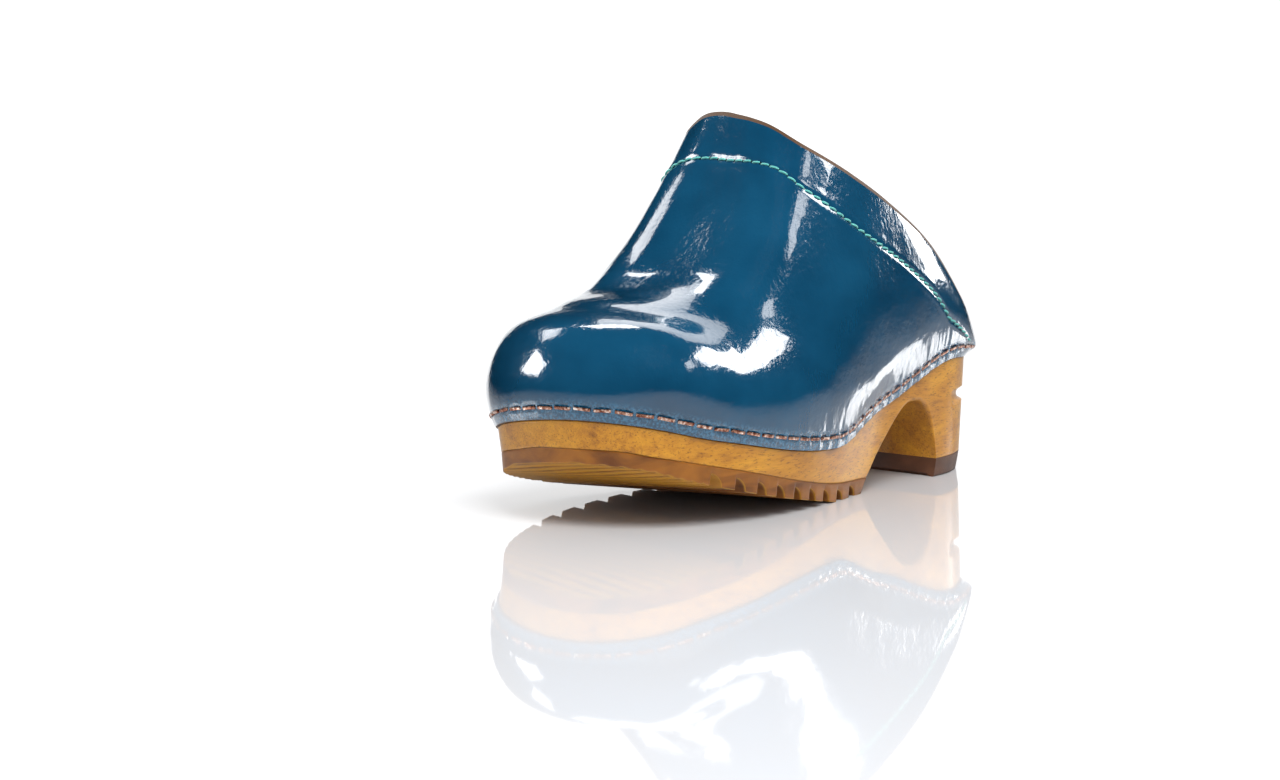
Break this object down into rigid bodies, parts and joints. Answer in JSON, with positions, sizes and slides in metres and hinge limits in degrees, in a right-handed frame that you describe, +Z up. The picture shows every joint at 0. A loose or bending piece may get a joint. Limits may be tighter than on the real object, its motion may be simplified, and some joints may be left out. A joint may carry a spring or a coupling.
{
  "type": "wooden clog",
  "caption": "Closed-toe, open-back clog: patent leather upper stapled to the ledge of a carved wooden sole with a rubber tread, an arched waist and a block heel.",
  "frame": {"origin": "centre of the clog's outline at ground level, under the waist", "axes": "+Y from the toe to the heel, +Z up, +X to the outer side of a left foot"},
  "size_m": [0.1102, 0.2578, 0.1595],
  "materials": {
    "lacquered_wood": "clear lacquer over fine-grained hardwood",
    "gum_rubber": "amber gum rubber, satin",
    "heel_rubber": "brown moulded rubber",
    "patent_leather": "high-gloss patent coating",
    "lining_leather": "undyed, matt",
    "facing_leather": "brown, matt, raw cut edge",
    "toe_stiffener": "hot-formed sheet",
    "mint_thread": "twisted polyester thread",
    "staple_wire": "coppered flat wire"
  },
  "bodies": {
    "root": {"wooden_sole": "lacquered_wood", "forefoot_outsole": "gum_rubber", "heel_top_lift": "heel_rubber", "vamp": "patent_leather", "vamp_lining": "lining_leather", "collar_facing": "facing_leather", "toe_puff": "toe_stiffener", "topline_stitching": "mint_thread", "staple_01": "staple_wire", "staple_02": "staple_wire", "staple_04": "staple_wire", "staple_05": "staple_wire", "staple_07": "staple_wire", "staple_08": "staple_wire", "staple_10": "staple_wire", "staple_11": "staple_wire", "staple_13": "staple_wire", "staple_14": "staple_wire", "staple_16": "staple_wire", "staple_17": "staple_wire", "staple_19": "staple_wire", "staple_20": "staple_wire", "staple_22": "staple_wire", "staple_23": "staple_wire", "staple_25": "staple_wire", "staple_26": "staple_wire", "staple_28": "staple_wire", "staple_29": "staple_wire", "staple_31": "staple_wire", "staple_32": "staple_wire", "staple_34": "staple_wire", "staple_35": "staple_wire", "staple_37": "staple_wire", "staple_38": "staple_wire", "staple_40": "staple_wire", "staple_41": "staple_wire", "staple_43": "staple_wire", "staple_44": "staple_wire", "staple_46": "staple_wire", "staple_47": "staple_wire", "staple_49": "staple_wire", "staple_50": "staple_wire", "staple_52": "staple_wire", "staple_53": "staple_wire", "staple_55": "staple_wire", "staple_56": "staple_wire", "staple_58": "staple_wire", "staple_59": "staple_wire", "staple_61": "staple_wire", "staple_62": "staple_wire", "staple_64": "staple_wire", "staple_65": "staple_wire", "staple_67": "staple_wire", "staple_68": "staple_wire", "staple_70": "staple_wire"}
  },
  "joints": []
}
